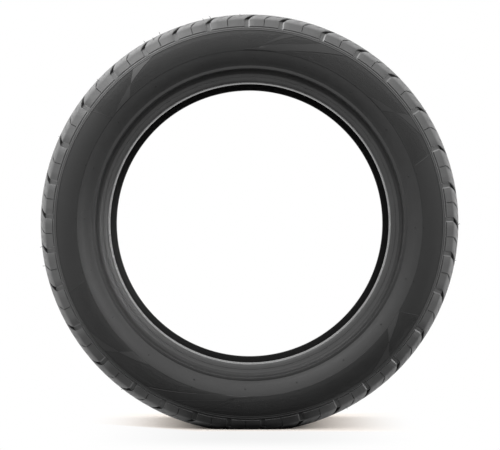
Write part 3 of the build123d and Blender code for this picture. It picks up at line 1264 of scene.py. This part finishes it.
FRONT_LIGHT = 1.5
FRONT_LIGHT_RISE = (-0.35, 0.5)    # the front light grows between these heights of the sky
BEHIND = (-0.1, 0.1)               # where the sky in front of the tyre turns into that behind it

# Each lamp's angle off the line from the tyre to the camera, its turn clockwise from the top as
# the camera sees it, and its power in watts
LAMPS = (
    ("rim_lamp", 94, 326, 64),
    ("back_lamp", 100, 352, 12),
    ("left_lamp", 104, 266, 32),
    ("key_lamp", 56, 322, 10),
    ("right_lamp", 100, 24, 30),
    ("far_right_lamp", 104, 92, 54),
    ("top_lamp", 30, 42, 7),
)
LAMP_REACH = 2.4
LAMP_SIZE = 1.8
SPOT_PLACE = (0.588, -1.286, 0.214)
SPOT_TARGET = (-0.2086, 0.071, -0.0759)
SPOT_SPREAD = radians(11)
SPOT_RADIUS = 0.08
SPOT_POWER = 80

SENSOR_WIDTH = 36.0
CAMERA_ASIDE = 0.7 * MM
CAMERA_DROP = 2.6 * MM

# Distances on the floor from the tyre's middle, aside along X and back along Y
FLOOR_REACH = 40.0
SHADOW_ASIDE = (0.05, 0.27)
SHADOW_BACK = (0.08, 0.18)
SHADOW_FRONT = 0.085
SHADOW_FADE = 0.05
SHADOW_TURN = 0.08                 # from here to the left the painted shadow's front edge runs back
SHADOW_SLANT = 0.73
PAINTED_FRONT_SHADOW = 0.11                        # how much a painted faint shadow in front of the foot darkens the floor
PAINTED_FRONT_SHADOW_BACK = (-0.22, -0.1)
PAINTED_FRONT_SHADOW_FADE = 0.16
PAINTED_FRONT_SHADOW_ASIDE = (0.02, 0.26)
BOUNCE_ASIDE = (0.25, 0.9)
TABLE_GLOW = 1.9
TABLE_ASIDE = (0.08, 0.2)
TABLE_BACK = (-0.14, -0.1)
MIRROR_BACK = (0.1, 0.5)


def floor_material(stage):
    """Floor that shows the tyre's shadow close to it and the background's white further off, with
    the shadow's reach, soft edges and warm tint painted, and a painted faint shadow in front of the
    foot.

    Only the camera sees it pale. To the tyre it is black in front and grey further aside, and
    beside the foot it glows like a lit table, which lights the shoulders from below.
    """
    material = bpy.data.materials.new("studio_floor")
    material.use_nodes = True
    finish = Finish(material.node_tree)
    x, y, _ = finish.axes(finish.node("TexCoord", output="Object"))
    aside = x.math("ABSOLUTE")

    # Painted shadow edges: where this share is 1 the floor is white emission whatever light falls on
    # it, so it sets the shadow's reach and soft edges
    front = (-SHADOW_TURN - x).math("MAXIMUM", 0.0) * SHADOW_SLANT - SHADOW_FRONT - y
    lit = finish.smooth(aside, *SHADOW_ASIDE)
    lit = lit.math("MAXIMUM", finish.smooth(front, 0.0, SHADOW_FADE))
    lit = lit.math("MAXIMUM", finish.smooth(y, *SHADOW_BACK))
    painted_front_shadow = finish.between(y, *PAINTED_FRONT_SHADOW_BACK, PAINTED_FRONT_SHADOW_FADE) * (1 - finish.smooth(aside, *PAINTED_FRONT_SHADOW_ASIDE))
    # Painted shadow tint: the emission turns warm where it fades into the shadow
    tint = finish.blend(lit, rgba(stage.shadow), rgba(stage.background))
    tint = finish.scaled(tint, 1 - painted_front_shadow * PAINTED_FRONT_SHADOW)
    pale = finish.node("BsdfDiffuse", None, {"Color": rgba(stage.floor)})
    white = finish.node("Emission", None, {"Color": tint, "Strength": 1.0})

    black = finish.node("BsdfDiffuse", None, {"Color": (0, 0, 0, 1)})
    grey = finish.node("BsdfDiffuse", None, {"Color": rgba(stage.floor_bounce)})
    table = finish.node("Emission", None, {
        "Color": rgba(stage.background), "Strength": TABLE_GLOW})
    dull = finish.mixed(finish.smooth(aside, *BOUNCE_ASIDE), black, grey)
    beside = finish.smooth(aside, *TABLE_ASIDE) * finish.smooth(y, *TABLE_BACK)
    unseen = finish.mixed(beside, dull, table)

    seen = finish.seen(finish.smooth(y, *MIRROR_BACK))
    surface = finish.mixed(seen, unseen, finish.mixed(lit, pale, white))
    finish.node("OutputMaterial", None, {"Surface": surface})
    return material


def studio_world(stage):
    """White to the camera and, from behind the tyre, to its gloss, with an even light in front."""
    world = bpy.data.worlds.new("studio")
    world.use_nodes = True
    finish = Finish(world.node_tree)
    _, y, z = finish.axes(finish.node("TexCoord", output="Generated"))
    behind = finish.smooth(y, *BEHIND)
    white = finish.seen(behind)
    front_light = (1 - behind) * finish.smooth(z, *FRONT_LIGHT_RISE) * FRONT_LIGHT
    surface = finish.node("Background", None, {
        "Color": rgba(stage.background), "Strength": white + (1 - white) * front_light})
    finish.node("OutputWorld", None, {"Surface": surface})
    return world


def add_floor(stage):
    """A wide flat floor at the tyre's foot."""
    corners = ((-1, -1), (1, -1), (1, 1), (-1, 1))
    mesh = bpy.data.meshes.new("floor")
    mesh.from_pydata([(x * FLOOR_REACH, y * FLOOR_REACH, LOW[2]) for x, y in corners],
                     [], [(0, 1, 2, 3)])
    mesh.materials.append(floor_material(stage))
    floor = bpy.data.objects.new("floor", mesh)
    bpy.context.collection.objects.link(floor)
    floor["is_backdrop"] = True


def add_lamp(name, kind, place, target, settings):
    """A lamp with its settings that faces its target."""
    lamp = bpy.data.lights.new(name, kind)
    for setting, value in settings.items():
        setattr(lamp, setting, value)
    holder = bpy.data.objects.new(name, lamp)
    holder.location = place
    toward = Vector(target) - Vector(place)
    holder.rotation_euler = toward.to_track_quat("-Z", "Y").to_euler()
    bpy.context.collection.objects.link(holder)


def add_lamps():
    """Square soft lamps all round the tyre, and a spot that fades out round one side of the bead."""
    for name, off_axis, clock, power in LAMPS:
        out = LAMP_REACH * sin(radians(off_axis))
        near = LAMP_REACH * cos(radians(off_axis))
        place = (out * sin(radians(clock)), -near, out * cos(radians(clock)))
        add_lamp(name, "AREA", place, (0, 0, 0), {
            "shape": "SQUARE", "size": LAMP_SIZE, "energy": power})
    add_lamp("bead_spot", "SPOT", SPOT_PLACE, SPOT_TARGET, {
        "spot_size": SPOT_SPREAD, "spot_blend": 1.0, "shadow_soft_size": SPOT_RADIUS,
        "energy": SPOT_POWER})


def add_camera(stage):
    """A camera in front of the tyre that looks along the axle."""
    data = bpy.data.cameras.new("camera")
    data.lens = stage.focal_length
    data.sensor_width = SENSOR_WIDTH
    camera = bpy.data.objects.new("camera", data)
    camera.location = (CAMERA_ASIDE, -stage.camera_distance, -CAMERA_DROP)
    camera.rotation_euler = (pi / 2, 0, 0)
    bpy.context.collection.objects.link(camera)
    return camera


class TYRE_OT_stage(bpy.types.Operator):
    """Set up the studio: floor, world, lamps and camera"""

    bl_idname = "tyre.stage"
    bl_label = "Studio"

    def execute(self, context):
        scene = context.scene
        add_floor(scene.tyre_stage)
        scene.world = studio_world(scene.tyre_stage)
        add_lamps()
        scene.camera = add_camera(scene.tyre_stage)
        scene.view_settings.view_transform = "Standard"
        return {"FINISHED"}


class TYRE_PT_panel(bpy.types.Panel):
    """Sizes, colours and build steps of the tyre"""

    bl_label = "Car tyre"
    bl_idname = "TYRE_PT_panel"
    bl_space_type = "VIEW_3D"
    bl_region_type = "UI"
    bl_category = "Tyre"

    def draw(self, context):
        scene = context.scene
        for group in (scene.tyre_sizes, scene.tyre_colours, scene.tyre_stage):
            box = self.layout.box()
            for name in group.__annotations__:
                box.prop(group, name)
        for step in BUILD_STEPS:
            self.layout.operator(step.bl_idname)


BUILD_STEPS = (TYRE_OT_body, TYRE_OT_band, TYRE_OT_hairs, TYRE_OT_stage)
CLASSES = (TyreSizes, TyreColours, StageSettings, *BUILD_STEPS, TYRE_PT_panel)


def register():
    for each in CLASSES:
        bpy.utils.register_class(each)
    bpy.types.Scene.tyre_sizes = PointerProperty(type=TyreSizes)
    bpy.types.Scene.tyre_colours = PointerProperty(type=TyreColours)
    bpy.types.Scene.tyre_stage = PointerProperty(type=StageSettings)


def unregister():
    del bpy.types.Scene.tyre_stage
    del bpy.types.Scene.tyre_colours
    del bpy.types.Scene.tyre_sizes
    for each in reversed(CLASSES):
        bpy.utils.unregister_class(each)


def main():
    register()
    bpy.ops.tyre.body()
    bpy.ops.tyre.band()
    bpy.ops.tyre.hairs()
    bpy.ops.tyre.stage()
    boxes = {"cad": cad_box, "visual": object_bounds()}
    boxes = {name: [list(corner) for corner in corners] for name, corners in boxes.items()}


if __name__ == "__main__":
    main()
